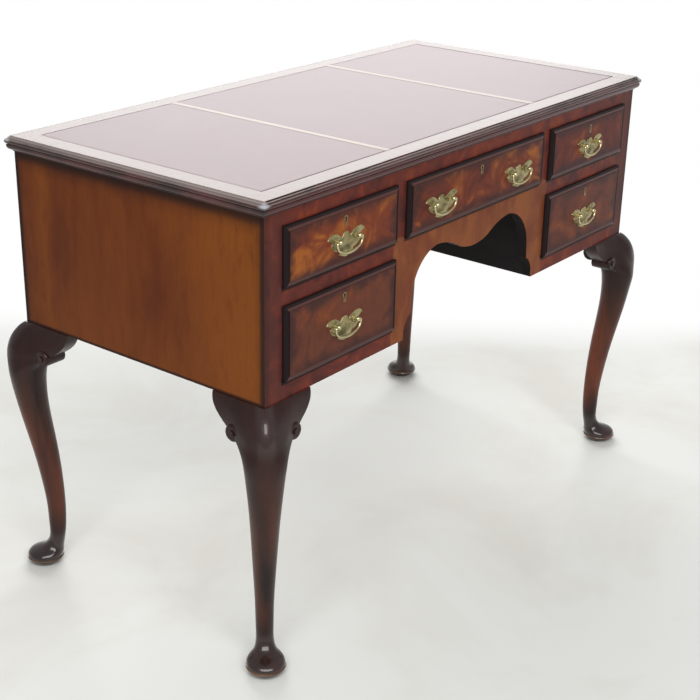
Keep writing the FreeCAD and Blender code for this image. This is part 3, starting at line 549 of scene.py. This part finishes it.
def leg_wood(woods):
    """Dark polished legs, reddish down the calves; the post above takes the case's veneers."""
    material, spot, (x, y, z) = start("dark_leg_polish")
    streaks = noise(place_at(spot, (1.0, 1.0, 0.12)), 34.0, detail=3.0, rough=0.55, warp=0.4)
    colour = mix(ease(streaks, 0.36, 0.66), woods.leg_dark, woods.leg)
    wear = place_at(spot, (1.0, 1.0, 0.22), (0.3, 0.1, 0.0))
    worn = ease(noise(wear, 17.0, warp=0.3), 0.28, 0.68)
    # Painted shade: the front left leg's calf gets less of the reddish wear
    shaded = ease(-1 * x, 0.0, 0.1) * ease(-1 * y, 0.0, 0.1)
    reddish = worn * (0.08 + band(z, *CALF) * (0.90 - 0.50 * shaded))
    colour = mix(reddish, colour, woods.leg_worn)
    colour = mix(ease(z, *KNEE) * 0.55, colour, woods.knee)
    colour, height = fine_lines(spot, ALONG_Z, colour, woods.leg_pores, 0.22)
    colour = mix(band(z, *FOOT_RING) * (0.20 + worn * 0.40), colour, woods.foot_ring)
    from_ridge = abs(abs(x) - abs(y) - (CASE_X + CASE_FRONT))
    ridge = ease(z, *RIDGE) * fade(from_ridge, *RIDGE_W)
    rubbed = most(ridge, fade(z, *FOOT))
    leg = finish(
        colour, 0.26 + worn * 0.08, height, depth=0.00004, normal=rounded_normal(spot, ridge),
        coat_weight=0.05 + rubbed * 0.75, **LEG_POLISH,
    )
    at_side = ease(abs(x), CASE_X - 0.0006, CASE_X - 0.0003)
    axes = (x, y, z)
    veneer = mix(at_side, frame_colour(spot, axes, woods), side_colour(spot, axes, woods))
    post = ease(z, CASE_BOTTOM - 0.0004, CASE_BOTTOM + 0.0004)
    both = {0: post, 1: leg, 2: finish(veneer, VENEER_ROUGH, **POLISH)}
    surface(spot.node("ShaderNodeMixShader", {}, both))
    return material


def side_colour(spot, axes, woods):
    """Soft straight-grained veneer of the sides: golden towards the front, dark round its rim and
    towards its ends, with a painted shadow under the top.
    """
    x, y, z = axes
    broad = noise(place_at(spot, (1.0, 1.0, 0.6)), 8.0, detail=3.0, warp=0.6)
    streaks = noise(place_at(spot, (1.0, 1.0, 0.14)), 34.0, warp=0.6)
    mottle = noise(place_at(spot, (1.0, 1.0, 0.3)), 70.0, detail=4.0, rough=0.6, warp=0.4)
    value = broad * 0.55 + streaks * 0.25 + mottle * 0.20
    colour = mix(ease(value, 0.36, 0.64), woods.side_dark, woods.side_light)
    end = -1 * CASE_FRONT
    at_front = ease(broad * 0.1 - y, end - 0.16, end + 0.02)
    at_back = band(y + broad * 0.03, end - 0.075, end - 0.045, end - 0.040, end - 0.012)
    low = fade(z + broad * 0.05, CASE_BOTTOM, CASE_BOTTOM + 0.15)
    gold = most(at_front * 0.80, most(at_back * 0.45, low * 0.35)) * ease(mottle, 0.15, 0.50)
    colour = mix(gold, colour, woods.side_gold)
    colour, _ = fine_lines(spot, ALONG_Z, colour, woods.side_dark, 0.18)
    from_top = CASE_TOP - z
    from_end = end - abs(y)
    # Painted shade under the top's overhang, and darker towards the front and back ends
    top_shade = fade(from_top + broad * 0.02, 0.018, 0.060)
    end_shade = fade(from_end + broad * 0.02, 0.010, 0.034)
    colour = mix(most(top_shade, end_shade * 0.6) * 0.70, colour, woods.side_shade)
    # Painted shadow: a dark band right under the top
    colour = mix(fade(from_top, 0.016, 0.030) * 0.70, colour, woods.side_painted_shadow)
    rim = most(fade(z - CASE_BOTTOM, 0.0030, 0.0060), fade(from_end, 0.0040, 0.0110))
    return mix(rim * 0.85, colour, woods.side_rim)


def lip_shadow_lines(x, z):
    """Share of painted shadow on the frame, in a dark line along the foot of each drawer."""
    lines = []
    for name in DRAWERS:
        low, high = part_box("drawer_front_" + name)
        half = (high.x - low.x) / 2
        along = fade(abs(x - (low.x + high.x) / 2), half, half + 0.002)
        lines.append(along * fade(abs(z - low.z), *LIP_SHADOW))
    return reduce(most, lines)


def frame_colour(spot, axes, woods):
    """Veneer of the front frame: red rails and posts, golden-brown apron and kneehole stiles."""
    x, y, z = axes
    patches = noise(spot, 22.0, detail=4.0, rough=0.58, warp=0.8)
    red = three_shades(patches, woods.frame_dark, woods.frame_red, woods.frame_light)
    clouds = noise(place_at(spot, (1.0, 1.0, 0.5)), 24.0, detail=5.0, rough=0.6, warp=0.6)
    brown = mix(ease(clouds, 0.32, 0.68), woods.apron_dark, woods.apron_light)
    within = fade(abs(x), KNEEHOLE_X - 0.006, KNEEHOLE_X)
    near_arch = within * fade(z, APRON_TOP - 0.004, APRON_TOP)
    post = ease(abs(x), CASE_X - 0.050, CASE_X - 0.036)
    red = mix(post * 0.55, red, woods.post_dull)
    red = mix(fade(CASE_X - abs(x), 0.003, 0.017) * 0.45, red, woods.post_corner)
    colour = mix(near_arch, red, brown)
    lined, _ = fine_lines(spot, ALONG_Z, colour, woods.frame_dark, 0.14)
    # Painted shadow in a dark line under each drawer's lip
    return mix(lip_shadow_lines(x, z) * 0.80, lined, woods.stain_and_shade)


def side_veneer(woods):
    """Polished sides."""
    material, spot, axes = start("straight_walnut")
    surface(finish(side_colour(spot, axes, woods), VENEER_ROUGH, **POLISH))
    return material


def front_veneer(woods):
    """Rails, stiles and apron; what lies behind their faces is nearly black, a stain that also
    paints their shade.
    """
    material, spot, (x, y, z) = start("front_walnut")
    # Faces behind the front: stained near black, also as painted shade
    behind = ease(y, CASE_FRONT + 0.0004, CASE_FRONT + 0.0010)
    colour = mix(behind, frame_colour(spot, (x, y, z), woods), woods.stain_and_shade)
    surface(finish(colour, VENEER_ROUGH + behind * 0.3, **POLISH))
    return material


def figure_shades(woods, name):
    """Dark, middling and light shade of a drawer's veneer, by its warmth and its red."""
    warmth = DRAWERS[name]
    middling = blend(warmth, woods.figure_dull, woods.figure_red)
    middling = blend(DEEP_RED.get(name, 0.0), middling, woods.figure_deep)
    lightest = blend(warmth, woods.figure_red, woods.figure_light)
    return blend(0.55 - 0.45 * warmth, woods.figure_dark, middling), middling, lightest


def drawer_veneer(woods, name):
    """Figured veneer on a drawer's field, darker towards its moulded lip, painted shade on the lip,
    and a plain back.
    """
    low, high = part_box("drawer_front_" + name)
    middle = (low + high) / 2
    half = (high - low) / 2
    material, spot, (x, y, z) = start("figured_walnut_" + name)
    from_end = half.x - abs(x - middle.x)
    from_edge = half.z - abs(z - middle.z)
    inward = least(from_end, from_edge)
    matched = spot.node("ShaderNodeCombineXYZ", (), {"X": from_end, "Y": y, "Z": z})
    shift = (middle.x * 3.0, 0.0, middle.z * 2.0)
    cloudy = place_at(spot, (1.0, 1.0, 1.2), shift)
    patches = noise(cloudy, 15.0, detail=4.0, rough=0.55, warp=1.0)
    slanting = place_at(matched, (0.25, 1.0, 1.0), shift, math.radians(38))
    streaks = noise(slanting, 60.0, warp=0.8)
    value = patches * 0.78 + streaks * 0.22 + (DRAWERS[name] - 0.7) * 0.06
    colour = three_shades(value, *figure_shades(woods, name))
    colour, height = fine_lines(matched, ALONG_Z, colour, woods.figure_dark, 0.14)
    vignette = fade(inward + (patches - 0.5) * 0.030, LIP_W, LIP_W + 0.018)
    colour = mix(vignette * 0.75, colour, woods.figure_rim)
    in_lip = fade(inward, LIP_W - 0.0008, LIP_W + 0.0008)
    end_lip = ease(from_edge - from_end, -HAIR, HAIR)
    # Painted shade: the end lips and the outer half of every lip darkened as the gap's shadow
    painted_lip_shade = most(end_lip, fade(inward, LIP_W * 0.35, LIP_W * 0.5))
    colour = mix(in_lip, colour, mix(painted_lip_shade, woods.lip, woods.lip_painted_shade))
    behind = ease(y, CASE_FRONT, CASE_FRONT + HAIR)
    plain, _ = grain(spot, ALONG_X, darker(woods.lining, 0.6), woods.lining)
    colour = mix(behind, colour, plain)
    rough = 0.30 + most(behind, in_lip * end_lip) * 0.3
    lip_shine = in_lip * (1 - behind) * (1 - end_lip) * 0.22
    shine = dict(POLISH, coat_weight=POLISH["coat_weight"] + lip_shine)
    surface(finish(colour, rough, height, depth=0.00003, **shine))
    return material


def plain_board(name, along, dark, light, rough):
    """Unpolished board."""
    material, spot, axes = start(name)
    colour, height = grain(spot, along, dark, light)
    surface(finish(colour, rough + height * 0.06, height, depth=0.00012, **BARE_WOOD))
    return material


def brass(fittings):
    """Worn cast brass: bright on posts and bails, duller and greenish on the plates."""
    material, spot, (x, y, z) = start("worn_brass")
    cloud = noise(spot, 60.0, detail=5.0, rough=0.65, warp=0.4)
    pits = noise(spot, 900.0)
    dull = ease(cloud, 0.40, 0.70)
    on_plate = ease(y, *PLATE_Y)
    colour = mix(on_plate, fittings.brass, fittings.plate)
    colour = mix(dull * (0.30 + 0.45 * on_plate), colour, fittings.tarnish)
    # Rubbed rims of the plates, paled towards white by a painted highlight
    rim = ease(y, *PLATE_RIM_Y)
    colour = mix(rim * 0.85, colour, fittings.plate_rim_wear_and_glint)
    rough = 0.24 + dull * 0.14 + (on_plate - rim) * 0.12
    surface(finish(colour, rough, pits, depth=0.00004, metallic=1.0))
    return material


def lock_brass(fittings):
    """Browned brass of the locks and their escutcheons."""
    material, spot, axes = start("browned_brass")
    cloud = noise(spot, 120.0, detail=4.0, rough=0.6)
    colour = mix(ease(cloud, 0.4, 0.7) * 0.6, fittings.escutcheon, fittings.tarnish)
    surface(finish(colour, 0.36 + cloud * 0.1, cloud, depth=0.00003, metallic=1.0))
    return material


def steel(fittings):
    """Dull, spotted steel of the screws."""
    material, spot, axes = start("dull_steel")
    cloud = noise(spot, 300.0, detail=3.0, rough=0.6)
    colour = mix(ease(cloud, 0.4, 0.7) * 0.5, fittings.steel, darker(fittings.steel, 0.5))
    surface(finish(colour, 0.35 + cloud * 0.2, cloud, depth=0.00003, metallic=1.0))
    return material


class DESK_OT_dress_top(bpy.types.Operator):
    """Finish the moulded top, its crossbanded border, leather panels and bed moulding"""

    bl_idname = "desk.dress_top"
    bl_label = "Dress Top"

    def execute(self, context):
        woods = context.scene.desk_woods
        fittings = context.scene.desk_fittings
        dress(edge_moulding(woods), "top_board", "bed_moulding")
        dress(border_veneer(woods, fittings), "top_border")
        dress(leather(fittings), "leather_left", "leather_centre", "leather_right")
        return {"FINISHED"}


class DESK_OT_dress_case(bpy.types.Operator):
    """Finish the sides, front frame, kneehole walls and inner boards"""

    bl_idname = "desk.dress_case"
    bl_label = "Dress Case"

    def execute(self, context):
        woods = context.scene.desk_woods
        dress(side_veneer(woods), "side_panel_left", "side_panel_right")
        dress(front_veneer(woods), "top_rail", "front_stiles", "pedestal_rails", "apron")
        # Near-black walls: stain that also paints the kneehole's shade
        stained_and_shaded = plain_board("stained_and_shaded_walls", ALONG_Y, woods.stain_and_shade_dark, woods.stain_and_shade, 0.6)
        dress(stained_and_shaded, "kneehole_wall_left", "kneehole_wall_right")
        back = plain_board("back_boards_wood", ALONG_X, woods.back_dark, woods.back_light, 0.6)
        dress(back, "back_boards")
        dark = darker(woods.carcase, 0.55)
        inner = plain_board("inner_boards", ALONG_Y, dark, woods.carcase, 0.65)
        dress(inner, "dust_boards", "drawer_guides", "kickers")
        dress(steel(context.scene.desk_fittings), "top_screws")
        return {"FINISHED"}


class DESK_OT_dress_legs(bpy.types.Operator):
    """Finish the cabriole legs and their knee brackets"""

    bl_idname = "desk.dress_legs"
    bl_label = "Dress Legs"

    def execute(self, context):
        dress(leg_wood(context.scene.desk_woods), *LEGS, "knee_brackets")
        return {"FINISHED"}


class DESK_OT_dress_drawers(bpy.types.Operator):
    """Finish the drawers' fronts, boxes, bottoms and locks"""

    bl_idname = "desk.dress_drawers"
    bl_label = "Dress Drawers"

    def execute(self, context):
        woods = context.scene.desk_woods
        dark = darker(woods.lining, 0.66)
        sides = plain_board("drawer_sides", ALONG_Y, dark, woods.lining, 0.6)
        bottoms = plain_board("drawer_bottoms", ALONG_X, dark, woods.lining, 0.65)
        metal = lock_brass(context.scene.desk_fittings)
        for name in DRAWERS:
            dress(drawer_veneer(woods, name), "drawer_front_" + name)
            dress(sides, "drawer_box_" + name)
            dress(bottoms, "drawer_bottom_" + name)
            dress(metal, "drawer_lock_" + name, "lock_bolt_" + name)
        return {"FINISHED"}


def mesh_of(name, form):
    """Mesh of a form, which is then let go."""
    mesh = bpy.data.meshes.new(name)
    form.to_mesh(mesh)
    form.free()
    return mesh


def put(name, data):
    """New object in the scene."""
    made = bpy.data.objects.new(name, data)
    bpy.context.scene.collection.objects.link(made)
    return made


def join_forms(form, extra):
    """Add one form to another."""
    mesh = mesh_of("part", extra)
    form.from_mesh(mesh)
    bpy.data.meshes.remove(mesh)


def connected_groups(form):
    """Groups of joined vertices."""
    left = set(form.verts)
    groups = []
    while left:
        group = [left.pop()]
        for vert in group:
            for edge in vert.link_edges:
                other = edge.other_vert(vert)
                if other in left:
                    left.remove(other)
                    group.append(other)
        groups.append(group)
    return groups


def cast_plates(name, fittings):
    """Plates and nuts of a drawer's pulls, the plates' front rims rounded; and their face."""
    form = bmesh.new()
    form.from_mesh(frame["nodes"]["pull_plate_" + name].data)
    bmesh.ops.remove_doubles(form, verts=form.verts, dist=MERGE)
    posts = []
    face = CASE_FRONT
    for group in connected_groups(form):
        width = max(v.co.x for v in group) - min(v.co.x for v in group)
        foremost = min(v.co.y for v in group)
        if width > fittings.post_span:
            face = foremost
        elif foremost < CASE_FRONT:
            posts += group
    bmesh.ops.delete(form, geom=posts, context="VERTS")
    bmesh.ops.dissolve_limit(form, angle_limit=FLAT_ANGLE, verts=form.verts, edges=form.edges)
    rim = [
        edge for edge in form.edges
        if all(abs(vert.co.y - face) < SAME_PLANE for vert in edge.verts)
        and edge.calc_face_angle(0.0) > RIM_ANGLE
    ]
    bmesh.ops.bevel(
        form, geom=rim, offset=fittings.plate_bevel, segments=3, profile=0.5, affect="EDGES",
        material=-1, clamp_overlap=True,
    )
    return form, face


def turned_post(form, place, fittings):
    """Post spun about its own axis: a flange on the plate, a neck and a ball for the bail's pin."""
    ball = fittings.post_radius
    reach = -place.y
    profile = [(radius * ball, reach - rise) for radius, rise in POST_FLANGE]
    profile.append(tuple(share * ball for share in POST_NECK))
    for degrees in POST_BALL:
        turn = math.radians(degrees)
        profile.append((ball * math.cos(turn), ball * math.sin(turn)))
    verts = [form.verts.new((place.x + radius, out, place.z)) for radius, out in profile]
    edges = [form.edges.new(pair) for pair in zip(verts, verts[1:])]
    bmesh.ops.spin(
        form, geom=verts + edges, cent=(place.x, 0.0, place.z), axis=(0.0, 1.0, 0.0),
        angle=2 * math.pi, steps=POST_STEPS, use_merge=True,
    )


def edges_of(geometry):
    """Edges among a bmesh operator's results."""
    return [item for item in geometry if isinstance(item, bmesh.types.BMEdge)]


def swelled_bail(place, fittings):
    """Half a bail, spun ring by ring along its bends and swelling to its middle, then mirrored."""
    form = bmesh.new()
    pin = Matrix.Translation((BAIL_PIN, 0.0, 0.0)) @ Matrix.Rotation(math.pi / 2, 4, "Y")
    bmesh.ops.create_circle(
        form, cap_ends=True, segments=BAIL_SIDES, radius=fittings.bail_radius, matrix=pin
    )
    grown = bmesh.ops.extrude_edge_only(form, edges=form.edges[:])["geom"]
    verts = [item for item in grown if isinstance(item, bmesh.types.BMVert)]
    ring = [edge for edge in edges_of(grown) if all(vert in verts for vert in edge.verts)]
    bmesh.ops.translate(form, verts=verts, vec=(BAIL_NECK - BAIL_PIN, 0.0, 0.0))
    flank_x = BAIL_NECK + BAIL_NECK_R - BAIL_FLANK_R
    grip_x = flank_x + BAIL_FLANK_R * math.cos(BAIL_FLANK_TURN)
    grip_z = -BAIL_NECK_R - BAIL_FLANK_R * math.sin(BAIL_FLANK_TURN)
    grip_r = grip_x / math.cos(BAIL_FLANK_TURN)
    grip_centre = (0.0, 0.0, grip_z + grip_r * math.sin(BAIL_FLANK_TURN))
    bends = [
        ((BAIL_NECK, 0.0, -BAIL_NECK_R), math.pi / 2, 7, 1.0),
        ((flank_x, 0.0, -BAIL_NECK_R), BAIL_FLANK_TURN, 10, 1.0),
        (grip_centre, math.pi / 2 - BAIL_FLANK_TURN, 10, fittings.bail_swell),
    ]
    for centre, angle, steps, swell in bends:
        size = swell ** (1 / steps)
        for _ in range(steps):
            made = bmesh.ops.spin(
                form, geom=ring, cent=centre, axis=(0.0, 1.0, 0.0), angle=angle / steps, steps=1
            )
            ring = edges_of(made["geom_last"])
            verts = list({vert for edge in ring for vert in edge.verts})
            middle = sum((vert.co for vert in verts), Vector()) / len(verts)
            about = Matrix.Translation(-middle)
            bmesh.ops.scale(form, verts=verts, vec=(size, size, size), space=about)
    whole = form.verts[:] + form.edges[:] + form.faces[:]
    bmesh.ops.mirror(form, geom=whole, axis="X", merge_dist=SAME_PLANE)
    bmesh.ops.translate(form, verts=form.verts, vec=place)
    return form


def brass_piece(name, form, material, body, *nodes):
    """Finish a brass form as an object that stands for CAD nodes."""
    bmesh.ops.remove_doubles(form, verts=form.verts, dist=MERGE)
    bmesh.ops.recalc_face_normals(form, faces=form.faces)
    for face in form.faces:
        face.smooth = True
    for edge in form.edges:
        edge.smooth = edge.calc_face_angle(0.0) < SHARP_ANGLE
    mesh = mesh_of(name, form)
    mesh.materials.append(material)
    piece = put(name, mesh)
    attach(piece, body)
    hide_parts(*nodes)


class DESK_OT_make_pulls(bpy.types.Operator):
    """Model the brass pulls: cast plates, turned posts and swelled bails"""

    bl_idname = "desk.make_pulls"
    bl_label = "Make Pulls"

    def execute(self, context):
        fittings = context.scene.desk_fittings
        metal = brass(fittings)
        for name in DRAWERS:
            form, face = cast_plates(name, fittings)
            for joint in BAIL_JOINTS:
                if joint["parent"] == "drawer_" + name:
                    place = Vector(joint["pos_m"])
                    posts = bmesh.new()
                    for x in (-fittings.post_span, fittings.post_span):
                        turned_post(posts, Vector((x, place.y - face, 0.0)), fittings)
                    bmesh.ops.translate(posts, verts=posts.verts, vec=place)
                    join_forms(form, posts)
                    child = joint["child"]
                    bail = swelled_bail(place, fittings)
                    brass_piece("brass_" + child, bail, metal, child, child)
            brass_piece("brass_pull_" + name, form, metal, "drawer_" + name, "pull_plate_" + name)
        return {"FINISHED"}


def sight_rays(root):
    """Whether a ray is the camera's own, a reflection or seen through glass."""
    names = ("Is Camera Ray", "Is Glossy Ray", "Is Transmission Ray")
    return [root.node("ShaderNodeLightPath", output=name) for name in names]


def lay_floor(stage):
    """Pale floor that turns white where a studio wall would begin."""
    plan = bmesh.new()
    bmesh.ops.create_grid(plan, x_segments=1, y_segments=1, size=FLOOR_HALF)
    floor = put("floor", mesh_of("floor", plan))
    material, spot, (x, y, z) = start("pale_floor")
    blotch = noise(spot, 2.2, detail=6.0, rough=0.6, warp=0.6)
    colour = mix(ease(blotch, 0.42, 0.72) * 0.5, stage.floor, stage.floor_stain)
    away = x * math.sin(stage.yaw) + y * math.cos(stage.yaw)
    beyond = ease(away, stage.wall_distance, stage.wall_distance + WALL_BLUR)
    white = beyond * reduce(most, sight_rays(spot))
    glow = spot.node("ShaderNodeEmission", {}, {"Color": WHITE, "Strength": 1.0})
    both = {0: white, 1: finish(colour, 0.7), 2: glow}
    surface(spot.node("ShaderNodeMixShader", {}, both))
    floor.data.materials.append(material)


def light_world(stage):
    """Even light from all round, white to the eye."""
    world = bpy.data.worlds.new("studio")
    world.use_nodes = True
    world.node_tree.nodes.clear()
    root = Sock(world.node_tree)
    seen, mirrored, through = sight_rays(root)
    strength = stage.sky + (1 - stage.sky) * most(seen, through) + stage.mirrored_sky * mirrored
    light = root.node("ShaderNodeBackground", {}, {"Color": WHITE, "Strength": strength})
    light.node("ShaderNodeOutputWorld", {}, {"Surface": light})
    bpy.context.scene.world = world


def hang_softbox(name, power, place, target, width, height):
    """Rectangular soft light turned towards a target."""
    lamp = bpy.data.lights.new(name, "AREA")
    lamp.shape = "RECTANGLE"
    lamp.size = width
    lamp.size_y = height
    lamp.energy = power
    box = put(name, lamp)
    box.location = place
    box.rotation_euler = (Vector(target) - Vector(place)).to_track_quat("-Z", "Y").to_euler()
    box.visible_camera = False


def set_camera(stage):
    """Camera at the photograph's angle."""
    camera = bpy.data.cameras.new("camera")
    camera.sensor_width = SENSOR
    camera.sensor_fit = "HORIZONTAL"
    camera.lens = stage.lens
    eye = put("camera", camera)
    turn = (
        Matrix.Rotation(-stage.yaw, 4, "Z")
        @ Matrix.Rotation(math.pi / 2 - stage.pitch, 4, "X")
        @ Matrix.Rotation(stage.roll, 4, "Z")
    )
    eye.matrix_world = Matrix.Translation(stage.eye) @ turn
    bpy.context.scene.camera = eye


class DESK_OT_set_stage(bpy.types.Operator):
    """Lay the pale floor, hang the softboxes and set the camera"""

    bl_idname = "desk.set_stage"
    bl_label = "Set Stage"

    def execute(self, context):
        stage = context.scene.desk_stage
        lay_floor(stage)
        light_world(stage)
        hang_softbox("key", stage.key_power, **KEY_BOX)
        hang_softbox("back", stage.back_power, **BACK_BOX)
        set_camera(stage)
        context.scene.view_settings.view_transform = "Standard"
        return {"FINISHED"}


class DESK_PT_looks(bpy.types.Panel):
    """Steps of the desk's looks, in order"""

    bl_idname = "DESK_PT_looks"
    bl_label = "Kneehole Desk"
    bl_space_type = "VIEW_3D"
    bl_region_type = "UI"
    bl_category = "Desk"

    def draw(self, context):
        for operator in OPERATORS:
            self.layout.operator(operator.bl_idname)


OPERATORS = (
    DESK_OT_dress_top,
    DESK_OT_dress_case,
    DESK_OT_dress_legs,
    DESK_OT_dress_drawers,
    DESK_OT_make_pulls,
    DESK_OT_set_stage,
)
GROUPS = {"desk_woods": DeskWoods, "desk_fittings": DeskFittings, "desk_stage": DeskStage}


def register():
    """Add the classes and the scene's properties."""
    for group in GROUPS.values():
        bpy.utils.register_class(group)
    for name, group in GROUPS.items():
        setattr(bpy.types.Scene, name, PointerProperty(type=group))
    for operator in OPERATORS:
        bpy.utils.register_class(operator)
    bpy.utils.register_class(DESK_PT_looks)


def unregister():
    """Take away what register added."""
    bpy.utils.unregister_class(DESK_PT_looks)
    for operator in reversed(OPERATORS):
        bpy.utils.unregister_class(operator)
    for name, group in GROUPS.items():
        delattr(bpy.types.Scene, name)
        bpy.utils.unregister_class(group)


def main():
    """Run every step."""
    register()
    bpy.ops.desk.dress_top()
    bpy.ops.desk.dress_case()
    bpy.ops.desk.dress_legs()
    bpy.ops.desk.dress_drawers()
    bpy.ops.desk.make_pulls()
    bpy.ops.desk.set_stage()


if __name__ == "__main__":
    main()
